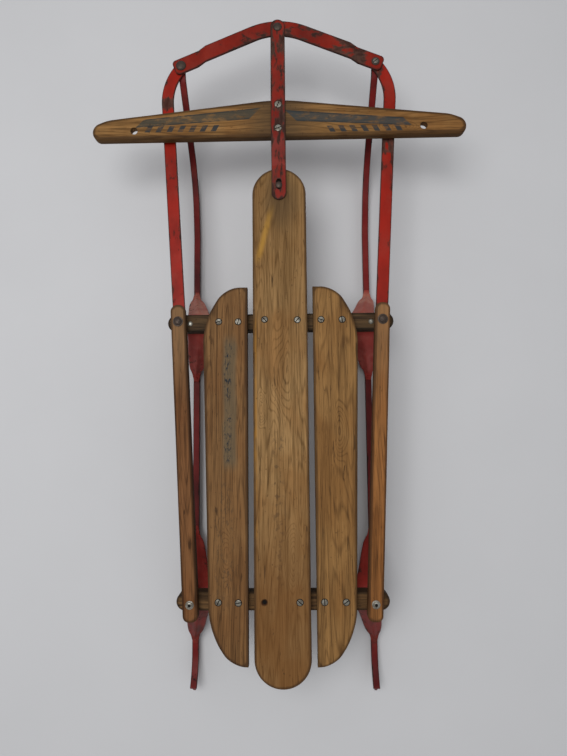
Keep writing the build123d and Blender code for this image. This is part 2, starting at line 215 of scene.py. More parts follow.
def band(value, low, high, soft):
    """1 between two values, with soft ends."""
    return smooth(value, low - soft, low + soft) * smooth(value, high + soft, high - soft)


def blend(factor, first, second):
    """Mixes two colours, each a socket or (r, g, b)."""
    colours = [c if isinstance(c, Socket) else (*c, 1) for c in (first, second)]
    settings = {"data_type": "RGBA", "blend_type": "MIX"}
    return factor.node("ShaderNodeMix", settings, {0: factor, 6: colours[0], 7: colours[1]}, 2)


def stretched(place, scale, offset=(0, 0, 0)):
    """Object coordinates in millimetres times a scale for each axis, to stretch a pattern."""
    factors = tuple(s / MM for s in scale)
    scaled = place.node("ShaderNodeVectorMath", {"operation": "MULTIPLY"}, {0: place, 1: factors})
    return place.node("ShaderNodeVectorMath", {"operation": "ADD"}, {0: scaled, 1: offset})


def noise(place, scale, detail=3.0, rough=0.55, warp=0.0, offset=(0, 0, 0)):
    inputs = {"Vector": stretched(place, scale, offset), "Scale": 1.0, "Detail": detail}
    inputs.update({"Roughness": rough, "Distortion": warp})
    return place.node("ShaderNodeTexNoise", {}, inputs)


def along_axis(place, axis):
    """One Object coordinate, in millimetres."""
    return place.node("ShaderNodeSeparateXYZ", {}, {0: stretched(place, (1, 1, 1))}, axis)


def distance(place, centre, scale=(1, 1, 0)):
    """Millimetres from a place in plan, with each axis scaled."""
    inputs = {0: stretched(place, scale), 1: tuple(c * s for c, s in zip(centre, scale)) + (0,)}
    return place.node("ShaderNodeVectorMath", {"operation": "DISTANCE"}, inputs, "Value")


print("patterns ready")

# %% [markdown]
# Every finish starts as an empty material and ends by feeding its colour, roughness and bump to the
# shader. The pieces carry an "edge" attribute, 1 at a rim and 0 on an open face, so that wear can follow
# the edges. The floor is the first, simplest finish: a faintly mottled pale grey.


# %% Starting and feeding a finish
def start_finish(name):
    """An empty material with its shader, and the Object coordinates that its patterns read."""
    material = bpy.data.materials.new(name)
    material.use_nodes = True
    tree = material.node_tree
    shader = tree.nodes["Principled BSDF"]
    coordinates = tree.nodes.new("ShaderNodeTexCoord")
    return material, shader, Socket(tree, coordinates.outputs["Object"])


def feed(shader, **sockets):
    """Links sockets to the shader's inputs, named with _ for a blank."""
    for name, value in sockets.items():
        value.tree.links.new(value.socket, shader.inputs[name.replace("_", " ")])


def edge_of(place):
    return place.node("ShaderNodeAttribute", {"attribute_name": "edge"}, {}, "Fac")


def bumped(shader, height, strength, depth):
    inputs = {"Height": height, "Strength": strength, "Distance": depth}
    feed(shader, Normal=height.node("ShaderNodeBump", {}, inputs))


floor_paint, shader, place = start_finish("pale_floor")
mottle = noise(place, (0.004, 0.004, 0.004))
feed(shader, Base_Color=blend(mottle, (0.52, 0.52, 0.53), (0.56, 0.56, 0.57)))
shader.inputs["Roughness"].default_value = 0.8
floor_mesh.materials.append(floor_paint)
print("floor painted")

# %% [markdown]
# The wood has long grain. A slow noise, stretched along the board, is a map of heights, and its contour
# lines are the growth rings that a flat-sawn board shows. Fine fibres, dark pores, scratches, stains and
# a grimy edge go over them. Each board came from another plank, so each gets its own tone and its own
# place in the noise. A board's own marks, such as faded stripes, are painted by a function that is handed
# over as `marks`. An image could be wrapped round the boards instead, but a pattern in space runs through
# faces and ends alike, as real grain does.


# %% Wood
def wood(name, along, pale, dark, warm, grime, plank, knots, marks):
    """Knots are places (x, y, reach) that the growth rings bend around."""
    material, shader, place = start_finish(name)
    shift = (plank * 7.3, plank * 3.1, plank * 5.7)

    def lay(across, length):
        return (across, length, across) if along == "y" else (length, across, across)

    heights = noise(place, lay(0.017, 0.0013), detail=2.0, rough=0.5, warp=0.4, offset=shift)
    for x, y, reach in knots:
        away = distance(place, (x, y), (*lay(1.0, 0.3)[:2], 0))
        heights = heights + 0.2 * smooth(away, reach, 0.0)
    rings = heights.node("ShaderNodeMath", {"operation": "PINGPONG"}, {0: heights * 30.0, 1: 0.5}) * 2.0
    fibre = noise(place, lay(0.75, 0.012), detail=4.0, rough=0.7, offset=shift)
    streak = noise(place, lay(0.12, 0.003), rough=0.65, offset=shift)
    patch = noise(place, (0.014, 0.008, 0.012), rough=0.6, warp=0.3, offset=shift)
    pore = smooth(noise(place, lay(0.8, 0.03), detail=2.0, rough=0.5, offset=shift), 0.58, 0.7)
    scratch = smooth(noise(place, lay(0.22, 0.016), rough=0.6, warp=0.8, offset=shift), 0.645, 0.7)
    speck = smooth(noise(place, (0.2, 0.13, 0.2), rough=0.6, offset=shift), 0.66, 0.73)

    line = smooth(rings, 0.55, 1.0)
    tone = 0.42 * line + 0.52 * smooth(fibre, 0.32, 0.68) + 0.62 * smooth(streak, 0.32, 0.68) - 0.25
    colour = blend(tone, pale, dark)
    warm_tone = blend(tone, warm, tuple(c * 0.5 for c in warm))
    colour = blend(smooth(patch, 0.4, 0.66) * 0.7, colour, warm_tone)
    colour = blend(pore * 0.5, colour, grime)
    if marks:
        colour = marks(place, colour)
    colour = blend(scratch * 0.7 + speck * 0.5, colour, grime)
    rim = smooth(edge_of(place) + 0.5 * patch + 0.2 * streak, 0.85, 1.35)
    colour = blend(rim * 0.7, colour, grime)

    feed(shader, Base_Color=colour, Roughness=0.48 + 0.22 * fibre + 0.1 * patch)
    shader.inputs["Specular IOR Level"].default_value = 0.08
    bumped(shader, 0.6 * fibre + 0.25 * rings - 0.8 * pore - 1.2 * scratch, strength=0.4, depth=0.0006)
    return material


print("wood can be made")

# %% [markdown]
# The deck boards and rails have marks of their own. The centre board has a thin yellow line along its
# left edge, a yellow dab near its nose, a dark smudge along its middle, a darker patch round the strap's
# tail, darker brown ends and a rust stain round the hole of the lost screw. The left board has a grey
# column of dark flecks. The rails are bleached in front. Each mark is a mask at a place on the sled,
# broken up by a noise, so that it looks worn and not printed.


# %% Marks on the boards
def centre_marks(place, colour):
    x, y = along_axis(place, "X"), along_axis(place, "Y")
    worn = noise(place, (0.09, 0.02, 0.09), rough=0.6)
    edge_line = band(x + 3.0 * worn, -43.5, -38.5, 1.2) * band(y, -330.0, 70.0, 30.0)
    colour = blend(edge_line * smooth(worn, 0.38, 0.6) * 0.8, colour, (0.36, 0.17, 0.03))
    dab = band(x - 0.26 * y, -83.0, -74.0, 4.0) * band(y, 165.0, 250.0, 16.0)
    colour = blend(dab * smooth(worn, 0.28, 0.48) * 0.9, colour, (0.47, 0.25, 0.045))
    smudge = band(x, -14.0, 4.0, 6.0) * band(y, -390.0, -120.0, 30.0)
    smudge = smudge * smooth(noise(place, (0.13, 0.1, 0.13), detail=4.0), 0.52, 0.62)
    colour = blend(smudge * 0.5, colour, (0.06, 0.038, 0.022))
    # darker round the strap's tail
    patchy = smooth(distance(place, (4, pin_y - 26), (1, 0.6, 0)) + 20.0 * worn, 54.0, 18.0)
    colour = blend(patchy * 0.66, colour, (0.060, 0.042, 0.024))
    # darker and browner towards both ends of the board
    darker_ends = 1.0 - band(y, -300.0, 90.0, 110.0)
    colour = blend(darker_ends * 0.34, colour, (0.105, 0.050, 0.014))
    colour = blend(smooth(y, -190.0, -400.0) * 0.36, colour, (0.125, 0.046, 0.012))
    stain = smooth(distance(place, lost_screw) + 4.0 * worn, 9.0, 6.0)
    return blend(stain * 0.9, colour, (0.030, 0.011, 0.006))


def left_marks(place, colour):
    y = along_axis(place, "Y")
    worn = noise(place, (0.09, 0.035, 0.09), detail=4.0, rough=0.65)
    x = along_axis(place, "X") + 12.0 * noise(place, (0.001, 0.014, 0.001), detail=2.0)
    column = band(x, -90.0, -68.0, 4.0) * band(y, -185.0, 26.0, 14.0)
    colour = blend(column * 0.65, colour, (0.105, 0.085, 0.052))
    fleck = smooth(noise(place, (0.3, 0.1, 0.3), detail=4.0, rough=0.7), 0.5, 0.6)
    fleck = fleck * smooth(worn, 0.4, 0.54)
    side = band(x, -88.0, -76.0, 3.0) * band(y, -180.0, 24.0, 10.0)
    colour = blend(side * fleck, colour, (0.016, 0.021, 0.026))
    lower = band(x, -104.0, -72.0, 6.0) * band(y, -400.0, -210.0, 30.0)
    return blend(lower * fleck * 0.5, colour, (0.04, 0.03, 0.02))


def rail_marks(place, colour):
    worn = noise(place, (0.05, 0.012, 0.05), rough=0.6)
    bleached = smooth(along_axis(place, "Y") + 90.0 * worn, front_y - 130.0, front_y + 60.0)
    return blend(bleached * 0.5, colour, (0.250, 0.148, 0.070))


print("marks of the boards ready")

# %% [markdown]
# The steering bar carries faded blue-grey stripes: on each side of the strap, one long stripe that tapers
# towards the tip, and a row of seven short slanted dashes behind it. The halves nearly mirror each other,
# so the pattern reads the distance from the middle. A noise rubs the paint away in patches, and hands
# have darkened the wood beside the strap.

# %% Stripes of the steering bar
right_shift = (18.0, 5.0)  # the right half's pattern stands a little nearer the middle and the rear
first_dash, dash_pitch, dash_slant = 102.0, 19.0, 0.55


def bar_stripes(place, colour):
    across = along_axis(place, "X")
    on_right = smooth(across, -1.0, 1.0)
    x = abs(across) + right_shift[0] * on_right
    y = along_axis(place, "Y") - handle_rear + right_shift[1] * on_right
    worn = noise(place, (0.05, 0.14, 0.1), detail=4.0, rough=0.65)
    patchy = smooth(worn, 0.34, 0.54)
    above = y - (32.5 - 0.06 * (x - 45.0))
    below = (51.5 - 0.085 * (x - 35.0)) - y
    inside = smooth(above, -0.5, 0.5) * smooth(below, -0.5, 0.5)
    stripe = inside * band(x + 1.0 * (y - 40.0), 42.0, 226.0, 1.0)
    outline = stripe * (1.0 - smooth(above, 1.2, 2.8) * smooth(below, 1.2, 2.8))
    row = (x + dash_slant * (y - 17.0) - first_dash) * (1 / dash_pitch)
    dash = band(row.math("FRACT", row), 0.1, 0.58, 0.04)
    dashes = dash * band(y, 11.5, 22.5, 0.7) * band(row, 0.02, 6.95, 0.01)
    held = smooth(abs(across) + 45.0 * worn, 108.0, 34.0)
    colour = blend(held * 0.72, colour, (0.060, 0.038, 0.020))
    ink = blend(on_right, (0.046, 0.046, 0.036), (0.033, 0.043, 0.046))
    colour = blend(stripe * (0.35 + 0.5 * patchy), colour, ink)
    colour = blend(outline * patchy * 0.7, colour, (0.02, 0.024, 0.026))
    return blend(dashes * (0.4 + 0.55 * patchy), colour, (0.026, 0.031, 0.034))


print("stripes ready")

# %% [markdown]
# Now each board gets its wood. The centre board is the palest and the front bunk the darkest. The grain
# runs along the board: lengthways in the deck and the rails, and across the sled in the bunks and the
# steering bar. The tables give each wood's tones, knots and marks, and a wood's place in the first is its
# plank's number.

# %% The wood of each board
tones = {
    # pale, dark and warm tone, and grime
    "centre": (
        (0.320, 0.186, 0.074), (0.116, 0.062, 0.021), (0.235, 0.112, 0.035), (0.036, 0.018, 0.008),
    ),
    "left": (
        (0.208, 0.107, 0.040), (0.072, 0.035, 0.013), (0.160, 0.072, 0.025), (0.028, 0.014, 0.007),
    ),
    "right": (
        (0.265, 0.140, 0.047), (0.094, 0.046, 0.015), (0.200, 0.092, 0.027), (0.032, 0.016, 0.007),
    ),
    "left_rail": (
        (0.178, 0.078, 0.029), (0.059, 0.024, 0.008), (0.145, 0.053, 0.017), (0.024, 0.011, 0.005),
    ),
    "right_rail": (
        (0.280, 0.118, 0.035), (0.098, 0.039, 0.012), (0.215, 0.080, 0.021), (0.030, 0.014, 0.007),
    ),
    "front_bunk": (
        (0.108, 0.062, 0.027), (0.024, 0.014, 0.008), (0.074, 0.041, 0.018), (0.008, 0.006, 0.004),
    ),
    "bar": (
        (0.268, 0.139, 0.046), (0.085, 0.041, 0.013), (0.200, 0.088, 0.025), (0.030, 0.015, 0.007),
    ),
    "rear_bunk": (
        (0.162, 0.087, 0.034), (0.037, 0.020, 0.010), (0.112, 0.055, 0.021), (0.010, 0.007, 0.005),
    ),
}
knots = {
    "centre": ((0.7, -28, 30), (-32, -92, 12), (18, -330, 20)),
    "left": ((-88, -330, 16),),
    "right": ((96, -130, 18),),
    "bar": ((205, 385, 14),),
}
marks = {
    "centre": centre_marks, "left": left_marks, "left_rail": rail_marks, "right_rail": rail_marks,
    "bar": bar_stripes,
}
woods = {}
for plank, (name, colours) in enumerate(tones.items(), start=1):
    along = "x" if name in ("front_bunk", "rear_bunk", "bar") else "y"
    woods[name] = wood(f"{name}_wood", along, *colours, plank, knots.get(name, ()), marks.get(name))
print("woods:", *woods)

# %% [markdown]
# The steel was painted red. The paint has gone dull, darker in places, and along the edges it has chipped
# to brown steel. A noise decides where a chip is, and the edge attribute makes chips more likely at the
# edges. A texture could be painted by hand, but a mask of noise and edges wears every bar in the same
# way.


# %% Red paint
def paint(name, fresh, faded, steel, wear, chalk=0.1, grain=(0.13, 0.05, 0.13), spots=(), dust_light_and_shade=()):
    """Spots (x, y, reach) are worn through; dust_light_and_shade (from y, to y, share, colour) are bands,
    each under a film of dust, of painted light or of painted shade.
    """
    material, shader, place = start_finish(name)
    patch = noise(place, (0.016, 0.011, 0.016), detail=4.0, rough=0.6)
    speck = noise(place, grain, detail=4.0, rough=0.65)
    broad = noise(place, (0.006, 0.006, 0.006), detail=2.0, rough=0.5, offset=(3, 7, 1))
    dust = smooth(noise(place, (0.03, 0.02, 0.03), detail=4.0, rough=0.65, offset=(9, 2, 4)), 0.42, 0.7)
    colour = blend(smooth(patch, 0.3, 0.72), fresh, faded)
    colour = blend(dust * chalk, colour, (0.36, 0.10, 0.07))
    for low, high, share, film_colour in dust_light_and_shade:
        stretch = band(along_axis(place, "Y"), low, high, 8.0)
        colour = blend(stretch * (0.35 + 0.65 * dust) * share, colour, film_colour)

    chance = speck * 0.6 + patch * 0.4 + edge_of(place) * 0.07 + broad * 0.25
    for x, y, reach in spots:
        chance = chance + 0.16 * smooth(distance(place, (x, y)), reach, 0.3 * reach)
    chip = smooth(chance, wear, wear + 0.08)
    rust = blend(smooth(speck, 0.4, 0.65), steel, tuple(c * 0.35 for c in steel))
    colour = blend(chip * 0.9, colour, rust)
    # Near the rims the paint is darkened towards black.
    rim = smooth(edge_of(place) + 0.25 * speck, 0.85, 1.12)
    colour = blend(rim * 0.75, colour, (0.028, 0.012, 0.009))

    feed(shader, Base_Color=colour, Roughness=0.38 + 0.15 * patch + 0.25 * chip)
    shader.inputs["Specular IOR Level"].default_value = 0.10
    bumped(shader, 0.12 * speck - 0.8 * chip, strength=0.45, depth=0.0004)
    return material


brown_steel, black_steel = (0.065, 0.04, 0.029), (0.035, 0.022, 0.02)
red_paint = paint(
    "red_paint", (0.285, 0.012, 0.005), (0.180, 0.009, 0.004), brown_steel, wear=0.7,
    spots=((-192, end_y - 70, 24), (190, end_y - 152, 24), (168, end_y - 16, 30)),
)
bumper_paint = paint(
    "bumper_paint", (0.200, 0.012, 0.005), (0.11, 0.009, 0.005), brown_steel, wear=0.685,
    grain=(0.06, 0.11, 0.11),
    spots=((112, end_y + 20, 34), (145, end_y + 8, 20), (8, strap_y - 2, 24)),
)
strap_paint = paint(
    "strap_paint", (0.20, 0.012, 0.006), (0.12, 0.010, 0.006), brown_steel, wear=0.625,
    grain=(0.12, 0.035, 0.12),
)
runner_paint = paint(
    "runner_paint", (0.15, 0.009, 0.008), (0.065, 0.006, 0.006), black_steel, wear=0.72,
)
standard_paint = paint(
    "standard_paint", (0.26, 0.024, 0.018), (0.16, 0.015, 0.011), brown_steel, wear=0.70, chalk=0.15,
    dust_light_and_shade=(
        # partly dust and partly painted light: a pale pink film on the front standards' front legs
        (front_y + 14, front_y + 75, 0.72, (0.40, 0.20, 0.14)),
        # painted light: a pink film on the front standards' rear legs
        (front_y - 80, front_y - 14, 0.50, (0.36, 0.11, 0.09)),
        # painted shade: a near-black film on the rear standards' rear legs
        (rear_y - 115, rear_y - 14, 0.75, (0.035, 0.014, 0.010)),
    ),
)
print("paints ready")

# %% [markdown]
# Bolts, screws and rivets are bare metal that has gone dull in patches. Where it is dull it is also
# rougher and less metallic. The darkest of the four is near black. It is painted shade in the slots of
# the screws, at the bottom of the empty hole and on the slat under the strap's slot, and it also makes a
# thin ring round each slat screw and the small dark centres of the rear bolts. The four differ only in
# tone and roughness, so one function makes them all.


# %% Bare metal
def metal(name, bright, dull, rough):
    material, shader, place = start_finish(name)
    patch = noise(place, (0.09, 0.09, 0.09), detail=4.0, rough=0.6)
    speck = noise(place, (0.5, 0.5, 0.5), rough=0.6)
    worn = smooth(patch * 0.6 + speck * 0.4, 0.4, 0.6)
    colour = blend(worn, bright, dull)
    feed(shader, Base_Color=colour, Roughness=rough + 0.25 * worn, Metallic=0.85 - 0.45 * worn)
    bumped(shader, speck + 0.6 * patch, strength=0.25, depth=0.0003)
    return material


zinc = metal("zinc", (0.33, 0.32, 0.28), (0.12, 0.105, 0.08), 0.36)
screw_steel = metal("screw_steel", (0.21, 0.20, 0.17), (0.085, 0.072, 0.054), 0.42)
dark_steel = metal("dark_steel", (0.075, 0.055, 0.043), (0.03, 0.019, 0.014), 0.45)
# near black: painted shade in slots and holes, and the rings and bolt centres
dirt_and_shade = metal("dirt_and_shade", (0.012, 0.009, 0.007), (0.006, 0.004, 0.003), 0.8)
print("metals ready")

# %% [markdown]
# Each piece ends the same way: the bmesh becomes an object at the origin, gets its finish, rides on a CAD
# body and, if it stands for a CAD node, hides that node. Faces are smooth, and edges sharper than 40
# degrees stay sharp. A bar with small rounded edges also gets weighted normals, which keep its broad
# faces flat in shading.


# %% Turning a bmesh into a piece
def piece(name, bm, body, material, slot, *nodes):
    """Makes an object. Faces of material 1 are the slots of screws, which get a near-black material as
    painted shade.
    """
    bmesh.ops.remove_doubles(bm, verts=bm.verts, dist=1e-6)
    bmesh.ops.recalc_face_normals(bm, faces=bm.faces)
    mesh = bpy.data.meshes.new(name)
    bm.to_mesh(mesh)
    bm.free()
    mesh.materials.append(material)
    if any(face.material_index for face in mesh.polygons):
        # painted shade in the slots of screws
        mesh.materials.append(dirt_and_shade)
    mesh.shade_smooth()
    mesh.set_sharp_from_angle(angle=radians(40))
    made = bpy.data.objects.new(name, mesh)
    bpy.context.collection.objects.link(made)
    if body:
        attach(made, body)
    if nodes:
        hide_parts(*nodes)
    print(name, len(mesh.polygons), "faces")
    return made


def even_piece(*details):
    made = piece(*details)
    made.modifiers.new("even_shading", "WEIGHTED_NORMAL").keep_sharp = True
    return made


print("pieces can be made")

# %% [markdown]
# A few small tools are used by nearly every piece: to find the points that an extrude made, to slice
# right across a shape, to mirror it to the left side, and to round its corners and rims with a bevel.


# %% Small bmesh tools
def points_of(made):
    """The new vertices in what an extrude hands back."""
    return [v for v in made["geom"] if isinstance(v, bmesh.types.BMVert)]


def whole(bm):
    return bm.verts[:] + bm.edges[:] + bm.faces[:]


def move(bm, verts, x, y, z):
    """Moves vertices by millimetres."""
    bmesh.ops.translate(bm, verts=verts, vec=(x * MM, y * MM, z * MM))


def slice_at(bm, axis, place):
    """Cuts right across a bmesh at one coordinate."""
    point, normal = [0, 0, 0], [0, 0, 0]
    point[axis], normal[axis] = place * MM, 1
    bmesh.ops.bisect_plane(bm, geom=whole(bm), dist=1e-7, plane_co=point, plane_no=normal)


def mirror_x(bm):
    bmesh.ops.scale(bm, vec=(-1, 1, 1), verts=bm.verts)
    bmesh.ops.reverse_faces(bm, faces=bm.faces)


def upright(bm, x, y):
    """The upright edge that stands at a corner of a board."""
    corner = Vector((x * MM, y * MM))
    return [e for e in bm.edges if all((v.co.to_2d() - corner).length < 1e-5 for v in e.verts)][0]


def round_edges(bm, edges, radius, segments):
    bmesh.ops.bevel(
        bm, geom=edges, offset=radius * MM, offset_type="OFFSET", segments=segments, profile=0.5,
        affect="EDGES", material=-1, clamp_overlap=True,
    )


def round_rims(bm, radius, segments=4):
    """Rounds every edge where an upright side meets a flat face."""
    bm.normal_update()
    rims = [e for e in bm.edges if len(e.link_faces) == 2 and e.calc_face_angle() > radians(55)]
    rims = [e for e in rims if max(abs(f.normal.z) for f in e.link_faces) > 0.7]
    round_edges(bm, rims, radius, segments)


print("bmesh tools ready")

# %% [markdown]
# Wear follows the edges. A piece is cut into a lattice, so that it has points to carry the wear, and each
# point gets an "edge" value: 1 at the side walls, fading to 0 further in. A tree of the walls alone finds
# the nearest one. The points are then pressed in by fractions of a millimetre, as an old board is never
# flat.


# %% Lattice and wear
def lattice(bm, step_x, step_y):
    for axis, step in ((X, step_x), (Y, step_y)):
        low, high = min(v.co[axis] for v in bm.verts) / MM, max(v.co[axis] for v in bm.verts) / MM
        count = max(2, round((high - low) / step))
        for n in range(1, count):
            slice_at(bm, axis, low + (high - low) * n / count)


def wear_map(bm, reach):
    rim = bm.verts.layers.float.new("edge")
    walls = bm.copy()
    walls.normal_update()
    flat = [f for f in walls.faces if abs(f.normal.z) > 0.99]
    bmesh.ops.delete(walls, geom=flat, context="FACES_ONLY")
    tree = BVHTree.FromBMesh(walls)
    walls.free()
    for vert in bm.verts:
        away = tree.find_nearest(vert.co)[3] / MM
        vert[rim] = max(0.0, 1.0 - away / reach)


def press_in(bm, depth):
    bm.normal_update()
    for vert in bm.verts:
        if vert.normal.z > -0.3:
            vert.co -= vert.normal * depth * MM * (0.5 + 0.5 * ripple(vert.co * 38.0))


print("wear tools ready")

# %% [markdown]
# A board starts as its corner points, is pulled up to its thickness, and then each corner is rounded by
# bevelling its upright edge. A bevel is measured along the sides, so a radius r at a corner that turns by
# t needs r * tan(t / 2).


# %% Boards
def board(corners, low, high, edge):
    """Corners are (x, y, radius), counted round the board; edge is the radius of its rims."""
    bm = bmesh.new()
    flat = bm.faces.new([bm.verts.new((x * MM, y * MM, low * MM)) for x, y, radius in corners])
    lifted = points_of(bmesh.ops.extrude_face_region(bm, geom=[flat]))
    move(bm, lifted, 0, 0, high - low)
    bmesh.ops.recalc_face_normals(bm, faces=bm.faces)
    for n, (x, y, radius) in enumerate(corners):
        if radius:
            into = Vector((x, y)) - Vector(corners[n - 1][:2])
            out = Vector(corners[(n + 1) % len(corners)][:2]) - Vector((x, y))
            round_edges(bm, [upright(bm, x, y)], radius * tan(into.angle(out) / 2), 16)
    if edge:
        round_rims(bm, edge)
    return bm


def oblong(half, rear, front, radius):
    """The corners of an oblong board in the middle of the sled."""
    return [(x, y, radius) for x, y in ((-half, rear), (half, rear), (half, front), (-half, front))]


print("boards can be made")

# %% [markdown]
# Holes are cut with a Boolean. The punch is a cone, the flared mouth of the hole, and its lower end is
# pulled down to the hole's depth. The face that was pulled stays behind inside the punch, so it is
# deleted.


# %% Holes
def cut_from(bm, tool):
    """Takes one shape out of another and hands back the result as a new bmesh."""
    holders = []
    for shape in (bm, tool):
        mesh = bpy.data.meshes.new("blank")
        shape.to_mesh(mesh)
        shape.free()
        holders.append(bpy.data.objects.new("blank", mesh))
        bpy.context.collection.objects.link(holders[-1])
    bore = holders[0].modifiers.new("bore", "BOOLEAN")
    bore.operation = "DIFFERENCE"
    bore.solver = "EXACT"
    bore.object = holders[1]
    bpy.context.view_layer.update()
    evaluated = holders[0].evaluated_get(bpy.context.evaluated_depsgraph_get())
    result = bpy.data.meshes.new_from_object(evaluated)
    made = bmesh.new()
    made.from_mesh(result)
    for mesh in (holders[0].data, holders[1].data, result):
        bpy.data.meshes.remove(mesh)
    return made


def punch(x, y, top, radius, mouth, flare, depth):
    """A round punch: radius below, mouth at the top, and a flare between them."""
    bm = bmesh.new()
    bmesh.ops.create_cone(
        bm, cap_ends=True, segments=28, radius1=radius * MM, radius2=mouth * MM, depth=flare * MM,
    )
    bm.normal_update()
    end = [f for f in bm.faces if f.normal.z < -0.9]
    pulled = points_of(bmesh.ops.extrude_face_region(bm, geom=end))
    bmesh.ops.delete(bm, geom=end, context="FACES")
    move(bm, pulled, 0, 0, -depth)
    bmesh.ops.recalc_face_normals(bm, faces=bm.faces)
    move(bm, bm.verts, x, y, top - flare / 2)
    return bm


print("holes can be cut")

# %% [markdown]
# The deck has three boards. The centre one is round at both ends. In its rear row one screw is lost, and
# the empty countersunk hole is cut into the board. The side boards are mirrored twins that taper to the
# rear. A cube with a bevel would do for the centre board, but a side board needs another radius at each
# corner, so every board is drawn by its corners.

# %% Deck
slat_half, slat_round, deck_edge = 46.0, 45.9, 2.0
bm = board(oblong(slat_half, slat_tail, slat_nose, slat_round), bunk_top, deck_top, deck_edge)
lattice(bm, step_x=6, step_y=10)
wear_map(bm, reach=7)
press_in(bm, depth=0.35)
bm = cut_from(bm, punch(*lost_screw, deck_top + 0.1, radius=2.4, mouth=5.8, flare=3.4, depth=20))
even_piece("centre_slat_board", bm, "frame", woods["centre"], "deck_wood", "centre_slat")

inner, nose, tail = 55.0, front_y + 58, rear_y - 98
side_slat = [
    (inner, tail, 0), (inner, nose, 0), (inner + 39, nose, 44), (inner + 75.5, nose - 62, 115),
    (inner + 64, tail + 55, 115), (inner + 27, tail, 44),
]
for side in ("right", "left"):
    bm = board(side_slat, bunk_top, deck_top, deck_edge)
    lattice(bm, step_x=6, step_y=10)
    wear_map(bm, reach=7)
    if side == "left":
        mirror_x(bm)
    press_in(bm, depth=0.35)
    even_piece(f"{side}_side_slat_board", bm, "frame", woods[side], "deck_wood", f"{side}_side_slat")

# %% [markdown]
# The bunks are the dark cross bars under the slats, fully round at their ends. The front one is longer,
# because the sled is wider in front. Half a cylinder could be joined to each end, but the board function,
# with a radius just under half the width, does it in one step.

# %% Bunks
bunk_half, bunk_round, bunk_edge = 14.5, 14.4, 1.6
for name, y, length in (("front_bunk", front_y, 385), ("rear_bunk", rear_y, 349)):
    corners = oblong(length / 2, y - bunk_half, y + bunk_half, bunk_round)
    bm = board(corners, bunk_low, bunk_top, bunk_edge)
    lattice(bm, step_x=8, step_y=5)
    wear_map(bm, reach=7)
    even_piece(f"{name}_bar", bm, "frame", woods[name], "bunk_wood", name)

# %% [markdown]
# A side rail is a board seen from its side: an L with a rebate under its front end, where the swinging
# side bar passes. So it starts as that L, is pulled to its width, and then its four corners are rounded.
# It is made along +Y with its front bolt at the origin, and is turned and moved to its place at the end.

# %% Side rails
rear_bolt_x = 149.3
rail_half, rail_edge = 12.5, 2.4
rail_nose, rail_heel = 29.0, 28.0  # ahead of the front bolt and behind the rear one
rebate_y, rebate_z = -11.5, bunk_top + 4.6
rail_top = bunk_top + 17
rail_run = hypot(pivot_x - rear_bolt_x, front_y - rear_y)
rail_slant = atan2(pivot_x - rear_bolt_x, front_y - rear_y)
heel = -rail_run - rail_heel
profile = [
    (heel, bunk_top), (rebate_y, bunk_top), (rebate_y, rebate_z),
    (rail_nose, rebate_z), (rail_nose, rail_top), (heel, rail_top),
]
for side in ("right", "left"):
    bm = bmesh.new()
    flat = bm.faces.new([bm.verts.new((-rail_half * MM, y * MM, z * MM)) for y, z in profile])
    pulled = points_of(bmesh.ops.extrude_face_region(bm, geom=[flat]))
    move(bm, pulled, 2 * rail_half, 0, 0)
    bmesh.ops.recalc_face_normals(bm, faces=bm.faces)
    for y, radius in ((rail_nose, 11.5), (heel, 10)):
        for x in (-rail_half, rail_half):
            round_edges(bm, [upright(bm, x, y)], radius, 8)
    round_rims(bm, rail_edge)
    lattice(bm, step_x=5, step_y=10)
    wear_map(bm, reach=5)
    bmesh.ops.rotate(bm, verts=bm.verts, cent=(0, 0, 0), matrix=Matrix.Rotation(-rail_slant, 3, "Z"))
    move(bm, bm.verts, pivot_x, front_y, 0)
    if side == "left":
        mirror_x(bm)
    press_in(bm, depth=0.3)
    even_piece(f"{side}_rail_bar", bm, "frame", woods[f"{side}_rail"], "deck_wood", f"{side}_side_rail")

# %% [markdown]
# The steering bar is straight behind, crowned in front and round at its tips, with a rope hole near each
# tip. Its outline is seven corners with large radii, which is easier to keep to the solid than a freehand
# curve. A hole is punched twice: once from above, and once more with a wide flare at its lower end.

# %% Steering bar
tip_x, bar_edge = 320.5, 4.0
rope_x, rope_y = 248, handle_rear + 15
right_tip = [(tip_x, handle_rear, 14), (tip_x, handle_rear + 26, 16), (tip_x - 26, handle_rear + 36.5, 60)]
left_tip = [(-x, y, radius) for x, y, radius in reversed(right_tip)]
bm = board(right_tip + [(0, handle_crown, 280)] + left_tip, handle_low, handle_top, bar_edge)
lattice(bm, step_x=7, step_y=6)
wear_map(bm, reach=6)
press_in(bm, depth=0.35)
for x in (-rope_x, rope_x):
    bm = cut_from(bm, punch(x, rope_y, handle_top + 0.1, radius=5.9, mouth=6.8, flare=1.2, depth=20))
    bm = cut_from(bm, punch(x, rope_y, handle_low + 8, radius=9.0, mouth=5.8, flare=8.2, depth=1))
even_piece("steering_bar", bm, "steering", woods["bar"], "deck_wood", "steering_handle")

# %% [markdown]
# The flat bars and the runners are bent from long steel stock, so they are made alike: a section follows
# a path of straight runs and arcs. Extruding its edges lays a run and spinning them lays an arc, which is
# as round as the real bend. The path lies in the plane of two directions, flat for the bars and upright
# for the runners.

# %% Following a path
east, north, upward = Vector((1, 0, 0)), Vector((0, 1, 0)), Vector((0, 0, 1))


def headings(angle, first, second):
    """The directions ahead and to the left, in the plane of two directions."""
    return first * cos(angle) + second * sin(angle), second * cos(angle) - first * sin(angle)


